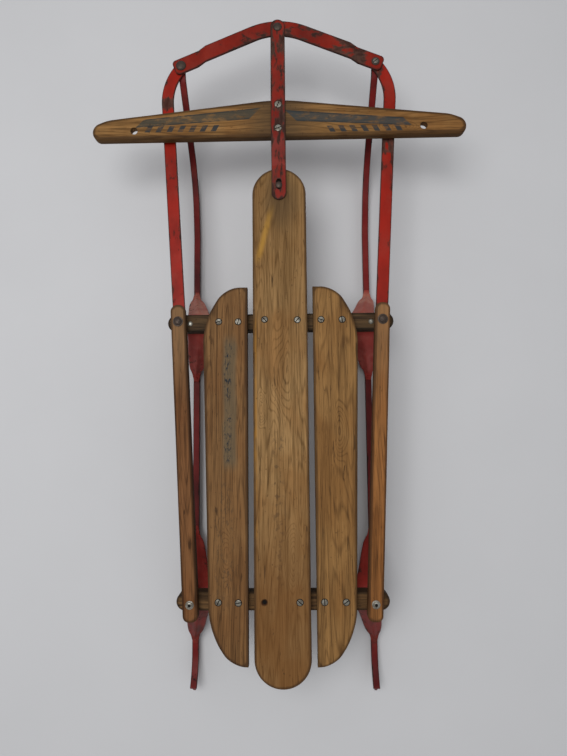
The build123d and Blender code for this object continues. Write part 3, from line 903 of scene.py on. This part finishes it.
def follow(bm, edges, place, angle, first, second, legs):
    """Legs are ("run", length, steps) or ("arc", radius, turn in degrees, steps); a run may end with a
    taper, by which the section's right side is drawn to the left. Hands back the last edges."""
    for kind, *sizes in legs:
        ahead, left = headings(angle, first, second)
        if kind == "run":
            length, steps, taper = [*sizes, 0.0][:3]
            for n in range(steps):
                made = bmesh.ops.extrude_edge_only(bm, edges=edges)
                verts = points_of(made)
                bmesh.ops.translate(bm, verts=verts, vec=ahead * length / steps * MM)
                if taper:
                    middle_line = sum(v.co.dot(left) for v in verts) / len(verts)
                    right_side = [v for v in verts if v.co.dot(left) < middle_line]
                    bmesh.ops.translate(bm, verts=right_side, vec=left * taper / steps * MM)
                edges = [e for e in made["geom"] if isinstance(e, bmesh.types.BMEdge)]
                edges = [e for e in edges if set(verts) >= set(e.verts)]
            place = place + ahead * length
        else:
            radius, turn, steps = sizes
            axis = first.cross(second)
            centre = place + left * radius * (1 if turn > 0 else -1)
            verts = {v for e in edges for v in e.verts}
            spun = bmesh.ops.spin(
                bm, geom=[*edges, *verts], cent=centre * MM, axis=axis, angle=radians(turn), steps=steps,
            )
            edges = [e for e in spun["geom_last"] if isinstance(e, bmesh.types.BMEdge)]
            place = centre + Matrix.Rotation(radians(turn), 3, axis) @ (place - centre)
            angle += radians(turn)
    return edges


print("paths can be followed")

# %% [markdown]
# A flat bar starts as one short edge across its width. When it has followed its path it is a flat strip,
# which then gets its thickness, its round end corners and its small rounded rims.


# %% Strips of flat steel
def strip(start, angle, width, legs):
    """A flat strip in plan, without thickness."""
    bm = bmesh.new()
    place = Vector((*start, 0))
    across = headings(angle, east, north)[1] * width / 2
    edge = bm.edges.new([bm.verts.new((place + across) * MM), bm.verts.new((place - across) * MM)])
    follow(bm, [edge], place, angle, east, north, legs)
    bmesh.ops.remove_doubles(bm, verts=bm.verts, dist=1e-6)
    return bm


def thicken(bm, low, high, corner):
    """Gives a flat strip its thickness, and rounds its end corners and its rims."""
    move(bm, bm.verts, 0, 0, low)
    tips = [v.co.to_2d() / MM for v in bm.verts if len(v.link_edges) == 2]
    lifted = points_of(bmesh.ops.extrude_face_region(bm, geom=bm.faces[:]))
    move(bm, lifted, 0, 0, high - low)
    bmesh.ops.recalc_face_normals(bm, faces=bm.faces)
    round_edges(bm, [upright(bm, *tip) for tip in tips], corner, 8)
    round_rims(bm, 0.7, 2)


print("strips can be laid")

# %% [markdown]
# A side bar runs out from its pivot on the front rail bolt, straight and leaning outwards, and then hooks
# in to the bumper's end. The hook is the arc that leaves the straight run smoothly and ends at the rivet.
# Its radius follows from the chord between those two ends, so it needn't be guessed.

# %% Side bars
bar_low, bar_top = box_mm("right_side_bar", Z)
bar_width, bar_corner, overhang = 21, 10.4, 10.5
bar_splay, hook_length = 24, 68
straight = bar_reach - hook_length
lean = atan2(bar_splay, straight)
chord = Vector((-bar_splay, hook_length))
hook_turn = 2 * (atan2(chord.y, chord.x) - (pi / 2 - lean))
hook_radius = chord.length / (2 * sin(hook_turn / 2))
bar_legs = [
    ("run", overhang + hypot(bar_splay, straight), 12),
    ("arc", hook_radius, hook_turn * 180 / pi, 14),
    ("run", overhang, 1),
]
bar_start = (pivot_x - overhang * sin(lean), front_y - overhang * cos(lean))
for side in ("right", "left"):
    bm = strip(bar_start, pi / 2 - lean, bar_width, bar_legs)
    thicken(bm, bar_low, bar_top, bar_corner)
    lattice(bm, step_x=4, step_y=12)
    wear_map(bm, reach=5)
    if side == "left":
        mirror_x(bm)
    even_piece(f"{side}_swing_bar", bm, f"{side}_bar", red_paint, "red_steel", f"{side}_side_bar")

# %% [markdown]
# The bumper is a bow, two arms that run tangent into a round crown. Its ends step down onto the side
# bars, so the strip is cut across at the step with bisect_plane and the points outside it are lowered. A
# curve with a profile could make the bow too, but a spun strip has the exact radius and even steps.

# %% Bumper
bumper_low, bumper_top = box_mm("bumper", Z)
bumper_width, bumper_thick, bumper_corner, bumper_end = 27, 4, 7, 13
crown_radius = 116.0
crown_setback = crown_radius - bumper_rise
step_in, step_out = 127.5, 140.5
drop = bumper_top - bumper_low - bumper_thick
arm = asin(crown_radius / hypot(pivot_x, crown_setback)) - atan2(crown_setback, pivot_x)
arm_length = pivot_x / cos(arm) - crown_radius * tan(arm) + bumper_end
arm_leg = ("run", arm_length, 6)
bumper_start = (-pivot_x - bumper_end * cos(arm), end_y - bumper_end * sin(arm))
bm = strip(
    bumper_start, arm, bumper_width, [arm_leg, ("arc", crown_radius, -2 * arm * 180 / pi, 16), arm_leg],
)
for x in (-step_out, -step_in, step_in, step_out):
    slice_at(bm, X, x)
thicken(bm, bumper_top - bumper_thick, bumper_top, bumper_corner)
lattice(bm, step_x=8, step_y=5)
wear_map(bm, reach=6)
for vert in bm.verts:
    lowered = (abs(vert.co.x) / MM - step_in) / (step_out - step_in)
    vert.co.z -= drop * MM * min(1, max(0, lowered))
even_piece("bumper_bow", bm, "bumper", bumper_paint, "red_steel", "bumper")

# %% [markdown]
# The steering strap lies flat on the slat's nose, climbs over the steering bar and comes down on the
# bumper. At its tail a slot rides on the steering pin, and over the bar it is countersunk for two bolts.
# The holes are cut while the strap is flat, which keeps every cut simple, and then the points are lifted.

# %% Steering strap
strap_tail, strap_tip = box_mm("steering_strap", Y)
strap_low, strap_top = box_mm("steering_strap", Z)
strap_width, strap_thick, strap_corner = 25, 3, 12.4
rise = strap_top - strap_low - strap_thick
strap_flat = strap_low + strap_thick
strap_bolts = (front_y + 372.3, front_y + 330.0)
climb_foot, climb_head = slat_nose + 4, handle_rear - 4
fall_head, fall_foot = handle_crown + 4, strap_y - 27
bm = strip((0, strap_tail), pi / 2, strap_width, [("run", strap_tip - strap_tail, 1)])
thicken(bm, strap_low, strap_flat, strap_corner)
for y in (climb_foot, climb_head, fall_head, fall_foot):
    slice_at(bm, Y, y)
lattice(bm, step_x=4, step_y=10)
slot_half, slot_round = 4.4, 4.3
slot_rear, slot_front = pin_y - 7.4, pin_y + 10.9
slot = board(oblong(slot_half, slot_rear, slot_front, slot_round), strap_low - 2, strap_flat + 2, 0)
bm = cut_from(bm, slot)
for y in strap_bolts:
    bm = cut_from(bm, punch(0, y, strap_flat + 0.1, radius=4.0, mouth=6.6, flare=2.2, depth=4))
wear_map(bm, reach=5)
for vert in bm.verts:
    y = vert.co.y / MM
    climbed = min(1, max(0, (y - climb_foot) / (climb_head - climb_foot)))
    fallen = min(1, max(0, (fall_foot - y) / (fall_foot - fall_head)))
    vert.co.z += rise * MM * min(climbed, fallen)
even_piece("steering_strap_bar", bm, "steering", strap_paint, "red_steel", "steering_strap")

# %% [markdown]
# A runner is one long bar: a flat flange on an upright stem that cuts the snow. Each is an oblong
# section, drawn at the tail, that follows the runner's path. The stem's path ends early and its underside
# is drawn up over its last run, so that it tapers into the bow.


# %% Sweeping a section along a runner
def sweep(half_width, low, high, start, angle, legs):
    """A bar that follows legs in the upright plane."""
    bm = bmesh.new()
    place = Vector((0, *start))
    lift = headings(angle, north, upward)[1]
    corners = [(-half_width, low), (half_width, low), (half_width, high), (-half_width, high)]
    bm.faces.new([bm.verts.new((east * x + place + lift * height) * MM) for x, height in corners])
    last = follow(bm, bm.edges[:], place, angle, north, upward, legs)
    bmesh.ops.contextual_create(bm, geom=last)
    bmesh.ops.remove_doubles(bm, verts=bm.verts, dist=1e-6)
    bmesh.ops.recalc_face_normals(bm, faces=bm.faces)
    return bm


def add_part(bm, part):
    """Puts a finished part into a piece."""
    carrier = bpy.data.meshes.new("carrier")
    part.to_mesh(carrier)
    part.free()
    bm.from_mesh(carrier)
    bpy.data.meshes.remove(carrier)


print("runners can be swept")

# %% [markdown]
# From the tail a runner comes down to the snow, runs flat under the sled, rises in a long bow and ends in
# a short level tab under the bumper's end. A bend of radius r that turns by t takes r * tan(t / 2) from
# the straight legs beside it.

# %% Legs of a runner
flange_middle, tail_rise, tab_length, tab_setback = 16.0, 20.0, 18, 9
tail_slope, bow_slope = 34.0, 37.0
tail_radius, bow_radius, tab_radius = 90.0, 170.0, 25.0
tail_y = box_mm("right_runner", Y)[0] + flange_middle * sin(radians(tail_slope))
bow_rise = bunk_top - 2 - flange_middle
tail_bend = tail_radius * tan(radians(tail_slope / 2))
bow_bend = bow_radius * tan(radians(bow_slope / 2))
tab_bend = tab_radius * tan(radians(bow_slope / 2))
bow_foot = end_y - tab_setback - tab_bend - bow_rise / tan(radians(bow_slope))
bow_length = bow_rise / sin(radians(bow_slope))
flat_start = tail_y + tail_rise / tan(radians(tail_slope)) + tail_bend
ground_legs = [
    ("run", tail_rise / sin(radians(tail_slope)) - tail_bend, 2), ("arc", tail_radius, tail_slope, 10),
    ("run", bow_foot - bow_bend - flat_start, 60), ("arc", bow_radius, bow_slope, 14),
]
bow_legs = [
    ("run", bow_length - bow_bend - tab_bend, 10), ("arc", tab_radius, -bow_slope, 8),
    ("run", tab_length, 2),
]
stem_share, stem_taper = 0.72, 12
stem_legs = [("run", stem_share * bow_length - bow_bend, 8, stem_taper)]
print("flat on the snow for", round(bow_foot - bow_bend - flat_start), "mm")

# %% [markdown]
# The flange and the stem go together into one piece. At its sole and along the flange's rims the paint
# chips more and is darkened towards black, so the flange gets two long cuts to hold that edge. Its
# front splays out to the rivet.

# %% Runners
flange_half, flange_rise, flange_cut = 6, 2, 3.6
stem_half, stem_top, runner_edge = 2.5, -1.6, 0.8
# below or beyond these the paint chips more and is darkened towards black
sole_height, rim_x = 2, 4.8  # what lies below or beyond these is worn
splay_y = bow_foot - 107  # the front starts to splay here
splay = (pivot_x - runner_x) / (end_y - splay_y)
tail_end = (tail_y, flange_middle + tail_rise), radians(-tail_slope)
for side in ("right", "left"):
    bm = sweep(flange_half, -flange_rise, flange_rise, *tail_end, ground_legs + bow_legs)
    for x in (-flange_cut, flange_cut):
        slice_at(bm, X, x)
    stem = sweep(stem_half, -flange_middle, stem_top, *tail_end, ground_legs + stem_legs)
    add_part(bm, stem)
    bm.normal_update()
    round_edges(bm, [e for e in bm.edges if e.calc_face_angle(0) > radians(60)], runner_edge, 2)
    rim = bm.verts.layers.float.new("edge")
    for vert in bm.verts:
        worn = vert.co.z < sole_height * MM or abs(vert.co.x) > rim_x * MM
        vert[rim] = 1.0 if worn else 0.3
        vert.co.x += runner_x * MM + splay * max(0, vert.co.y - splay_y * MM)
    if side == "left":
        mirror_x(bm)
    made = even_piece(f"{side}_runner_bar", bm, None, runner_paint, "red_steel", f"{side}_runner")
    x = 0.1625 if side == "right" else -0.1625
    end_y * MM - 0.004
    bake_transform(made)

# %% [markdown]
# A standard is an arch of sheet steel under a bunk end. Each leg narrows to a pad that is riveted to the
# runner. A ridge is pressed along it and its edges are turned down, because a flat sheet would buckle.
# Here are its stations from foot to bunk, and the row of seven points at each: two for each turned edge,
# one raised for the ridge and one at each foot of the ridge. The stations are shares of the leg's length,
# so they serve the short legs and the long ones.

# %% Stations of a standard
sheet_inner, sheet_outer = 122.0, 163.0
foot_top, foot_half = 20.6, 6.0
sheet_half, sheet_thickness = 1.3, 2.4
standards = (
    # name, bunk y, reach of the front leg, reach of the rear leg
    ("front_standard", front_y, 66.0, 78.0),
    ("rear_standard", rear_y, 88.0, 94.0),
)


def leg_rows(y, way, reach):
    """Stations from the foot up to the bunk: y, inner x, outer x, top of the sheet, ridge, turned edge."""
    leg, fall = reach - bunk_half, bunk_low - foot_top
    pad_in, pad_out = runner_x - foot_half, runner_x + foot_half
    narrow = pad_in - sheet_inner
    rows = (
        (reach + 14.0, pad_in + 3, pad_out - 3, foot_top, 0.0, 0.5),
        (reach + 4.0, pad_in, pad_out, foot_top, 0.0, 0.5),
        (reach - 0.06 * leg, pad_in - 2, pad_out + 1, foot_top + 0.07 * fall, 3.5, 3.0),
        (
            bunk_half + 0.87 * leg, sheet_inner + 0.7 * narrow, sheet_outer + 11, bunk_low - 0.88 * fall,
            7.0, 5.0,
        ),
        (
            bunk_half + 0.45 * leg, sheet_inner + 0.4 * narrow, sheet_outer + 7, bunk_low - 0.5 * fall,
            7.0, 6.0,
        ),
        (bunk_half + 0.08 * leg, sheet_inner + 2, sheet_outer + 0.5, bunk_low - 0.07 * fall, 3.5, 3.0),
        (bunk_half - 1.0, sheet_inner, sheet_outer, bunk_low, 0.0, 0.5),
        (bunk_half - 5.5, sheet_inner, sheet_outer, bunk_low, 0.0, 0.5),
    )
    return [(y + way * away, *sizes) for away, *sizes in rows]


def sheet_row(rows, number):
    """The seven points of one station, each with its edge value."""
    y, inner_x, outer_x, top, ridge, turned_edge = rows[number]
    before, after = rows[max(0, number - 1)], rows[min(len(rows) - 1, number + 1)]
    outward = Vector((0, after[3] - before[3], before[0] - after[0])).normalized()
    points = []
    for share, lift, edge_value in (
        (0.0, -turned_edge, 1.0), (0.0, 0.0, 0.6), (0.3, 0.0, 0.0), (0.5, ridge, 0.25),
        (0.7, 0.0, 0.0), (1.0, 0.0, 0.6), (1.0, -turned_edge, 1.0),
    ):
        point = Vector((inner_x + share * (outer_x - inner_x), y, top - sheet_half)) + outward * lift
        points.append((point * MM, edge_value))
    return points


print("stations of", len(standards), "pairs of standards ready")

# %% [markdown]
# The first row is drawn across the front foot and extruded from station to station, over the bunk and
# down to the rear foot. Subdivision Surface rounds the folds and Solidify gives the sheet its thickness.

# %% Standards
for name, y, fore, aft in standards:
    rows = leg_rows(y, 1, fore) + leg_rows(y, -1, aft)[::-1]
    for side in ("right", "left"):
        bm = bmesh.new()
        rim = bm.verts.layers.float.new("edge")
        verts = [bm.verts.new(point) for point, edge_value in sheet_row(rows, 0)]
        edges = [bm.edges.new(pair) for pair in zip(verts, verts[1:])]
        for number in range(len(rows)):
            if number:
                fresh = set(points_of(bmesh.ops.extrude_edge_only(bm, edges=edges)))
                beside = [[e.other_vert(v) for e in v.link_edges] for v in verts]
                verts = [next(v for v in others if v in fresh) for others in beside]
                edges = [bm.edges.get(pair) for pair in zip(verts, verts[1:])]
            for vert, (point, edge_value) in zip(verts, sheet_row(rows, number)):
                vert.co = point
                vert[rim] = edge_value
        if side == "left":
            mirror_x(bm)
        made = piece(f"{side}_{name}_sheet", bm, "frame", standard_paint, "red_steel", f"{side}_{name}")
        folds = made.modifiers.new("folds", "SUBSURF")
        folds.levels = folds.render_levels = 2
        folds.boundary_smooth = "PRESERVE_CORNERS"
        sheet = made.modifiers.new("sheet", "SOLIDIFY")
        sheet.thickness = sheet_thickness * MM
        sheet.offset = 0.0

# %% [markdown]
# The fasteners are small but they catch the light. A dome is half a ball, pressed flat. A slotted head is
# a disc with a rounded rim: two cuts mark the slot, and the faces between them are pushed down, which is
# lighter than a Boolean. Nuts are six-sided discs.


# %% Heads and nuts
def dome(radius, height):
    part = bmesh.new()
    bmesh.ops.create_uvsphere(part, u_segments=28, v_segments=16, radius=radius * MM)
    bmesh.ops.bisect_plane(
        part, geom=whole(part), dist=1e-7, plane_co=(0, 0, 0), plane_no=(0, 0, 1), clear_inner=True,
    )
    bmesh.ops.holes_fill(part, edges=[e for e in part.edges if e.is_boundary], sides=0)
    bmesh.ops.scale(part, vec=(1, 1, height / radius), verts=part.verts)
    return part


def disc(radius, height, edge, sides=28):
    part = bmesh.new()
    bmesh.ops.create_cone(
        part, cap_ends=True, segments=sides, radius1=radius * MM, radius2=radius * MM, depth=height * MM,
    )
    move(part, part.verts, 0, 0, height / 2)
    round_edges(part, [e for e in part.edges if all(v.co.z > height * 0.9 * MM for v in e.verts)], edge, 3)
    return part


def nut(radius, height):
    return disc(radius, height, 0.8, 6)


def slotted(radius, height, width, depth):
    part = disc(radius, height, height * 0.55)
    for place in (-width / 2, width / 2):
        slice_at(part, Y, place)
    part.normal_update()
    slot = [f for f in part.faces if f.normal.z > 0.3 and abs(f.calc_center_median().y) < width / 2 * MM]
    # the slot's floor gets material 1, which is painted shade
    for face in slot:
        face.material_index = 1
    pushed = points_of(bmesh.ops.extrude_face_region(part, geom=slot))
    bmesh.ops.delete(part, geom=slot, context="FACES")
    move(part, pushed, 0, 0, -depth)
    return part


def fit(bm, part, x, y, z, turn=0.0, under=False):
    """Places a head in a piece: turned about its own axis, and upside down where it is a tail."""
    if under:
        bmesh.ops.rotate(part, verts=part.verts, cent=(0, 0, 0), matrix=Matrix.Rotation(pi, 3, "X"))
    bmesh.ops.rotate(part, verts=part.verts, cent=(0, 0, 0), matrix=Matrix.Rotation(radians(turn), 3, "Z"))
    move(part, part.verts, x, y, z)
    add_part(bm, part)


print("heads and nuts can be made")

# %% [markdown]
# The front rail bolts are dark, with a dome on a washer, and the side bars turn on them. The rear ones
# are zinc, with a washer, a rounded head and a small dark centre. Below, each ends in a nut. A bolt is
# stacked from closed parts that sink a little into one another.

# %% Rail bolts
sheet_low = bunk_low - 2 * sheet_half
bm = bmesh.new()
for x in (-pivot_x, pivot_x):
    fit(bm, disc(8.6, 1.0, 0.4), x, front_y, rail_top - 0.1)
    fit(bm, dome(6.8, 3.4), x, front_y, rail_top + 0.8)
    fit(bm, nut(6.3, 4.0), x, front_y, bunk_low, 15, under=True)
piece("front_rail_bolts", bm, "frame", dark_steel, "bare_steel", "rail_bolts")

bm = bmesh.new()
cores = bmesh.new()
for x in (-rear_bolt_x, rear_bolt_x):
    fit(bm, disc(6.8, 1.2, 0.5), x, rear_y, rail_top - 0.1)
    fit(bm, disc(5.0, 2.6, 1.2), x, rear_y, rail_top + 0.8)
    fit(bm, nut(6.3, 4.0), x, rear_y, sheet_low, 15, under=True)
    fit(cores, disc(2.5, 0.3, 0.1), x, rear_y, rail_top + 3.3)
piece("rear_rail_bolts", bm, "frame", zinc, "bare_steel")
piece("rear_bolt_cores", cores, "frame", dirt_and_shade, "bare_steel")

# %% [markdown]
# The bumper turns on two rivets. The left one has a broad dark dome, and the right one is a slotted screw
# on a dark washer, perhaps a repair. A third rivet joins the strap to the bumper, and the steering pin
# stands in the slat's nose.

# %% Bumper rivets and steering pin
bumper_seat, tab_seat = bumper_low + bumper_thick, bunk_top - 4.3
bm = bmesh.new()
fit(bm, dome(9.0, 3.8), -pivot_x, end_y, bumper_seat)
fit(bm, disc(7.2, 1.2, 0.5), pivot_x, end_y, bumper_seat)
fit(bm, dome(7.8, 3.4), 0, strap_y, strap_flat)
for x in (-pivot_x, pivot_x):
    fit(bm, dome(7.0, 3.0), x, end_y, tab_seat, under=True)
fit(bm, dome(7.0, 3.0), 0, strap_y, bumper_top - bumper_thick, under=True)
piece("bumper_rivet_heads", bm, "bumper", dark_steel, "bare_steel", "bumper_rivets")

bm = bmesh.new()
fit(bm, slotted(5.0, 2.0, 1.3, 0.9), pivot_x, end_y, bumper_seat + 1.0, 35)
piece("bumper_screw", bm, "bumper", screw_steel, "bare_steel")

bm = bmesh.new()
fit(bm, dome(6.0, 2.7), 0, pin_y, strap_flat + 0.2)
fit(bm, disc(3.5, 18.0, 0.4), 0, pin_y, bunk_top - 1)
fit(bm, dome(5.4, 3.0), 0, pin_y, bunk_top, under=True)
piece("steering_pin_head", bm, "frame", dark_steel, "bare_steel", "steering_pin")

# %% [markdown]
# The strap is bolted to the steering bar by two countersunk bolts, and slotted screws hold the slats. The
# screws stand in two rows, each a little out of line and turned its own way, so a short table gives them.
# Round each head lies a thin near-black ring. Two more dark discs are painted shade: one at the bottom of
# the empty hole, and one on the slat under the strap's slot.

# %% Strap bolts and slat screws
bm = bmesh.new()
for y, turn in zip(strap_bolts, (70, 20)):
    fit(bm, slotted(6.2, 2.4, 1.5, 1.0), 0, y, strap_top - 2.5, turn)
    fit(bm, nut(6.0, 3.5), 0, y, handle_low, 10, under=True)
piece("strap_bolt_heads", bm, "steering", zinc, "bare_steel")

slat_screws = (
    # x, y, turn
    (-103.5, front_y - 0.7, 20), (-70.7, front_y - 1.1, 75), (-26.1, front_y + 2.2, 130),
    (28.9, front_y + 1.0, 50), (68.7, front_y + 0.9, 160), (104.0, front_y + 0.5, 100),
    (-103.7, rear_y + 2.9, 65), (-71.1, rear_y + 2.1, 10), (28.1, rear_y + 2.6, 140),
    (67.6, rear_y + 2.9, 95), (102.3, rear_y + 2.8, 35),
)
bm = bmesh.new()
dark_discs = bmesh.new()
for x, y, turn in slat_screws:
    fit(bm, slotted(5.0, 1.3, 1.5, 0.9), x, y, deck_top - 0.5, turn)
    fit(dark_discs, disc(5.9, 0.5, 0.1), x, y, deck_top - 0.42)
# painted shade at the bottom of the empty hole
fit(dark_discs, disc(3.4, 0.4, 0.1), *lost_screw, deck_top - 2.6)
# painted shade on the slat under the strap's slot
fit(dark_discs, disc(9.5, 0.2, 0.05), 0, pin_y + 2, deck_top - 0.05)
piece("slat_screws", bm, "frame", screw_steel, "bare_steel")
piece("slat_screw_dark_discs", dark_discs, "frame", dirt_and_shade, "bare_steel")

# %% [markdown]
# Small rivets fix the front standards through the bunk and every standard's pad to its runner. Those on
# the pads were painted over with the rest.

# %% Small rivets
bunk_rivet_x, pad_rivet_out = 154.3, 8
bm = bmesh.new()
for x in (-bunk_rivet_x, bunk_rivet_x):
    fit(bm, dome(4.4, 2.0), x, front_y - 1, bunk_top)
piece("bunk_rivets", bm, "frame", zinc, "bare_steel")
bm = bmesh.new()
for name, y, fore, aft in standards:
    for x in (-runner_x, runner_x):
        for pad_y in (y + fore + pad_rivet_out, y - aft - pad_rivet_out):
            fit(bm, dome(3.2, 1.8), x, pad_y, foot_top - 0.1)
piece("pad_rivets", bm, "frame", standard_paint, "red_steel")
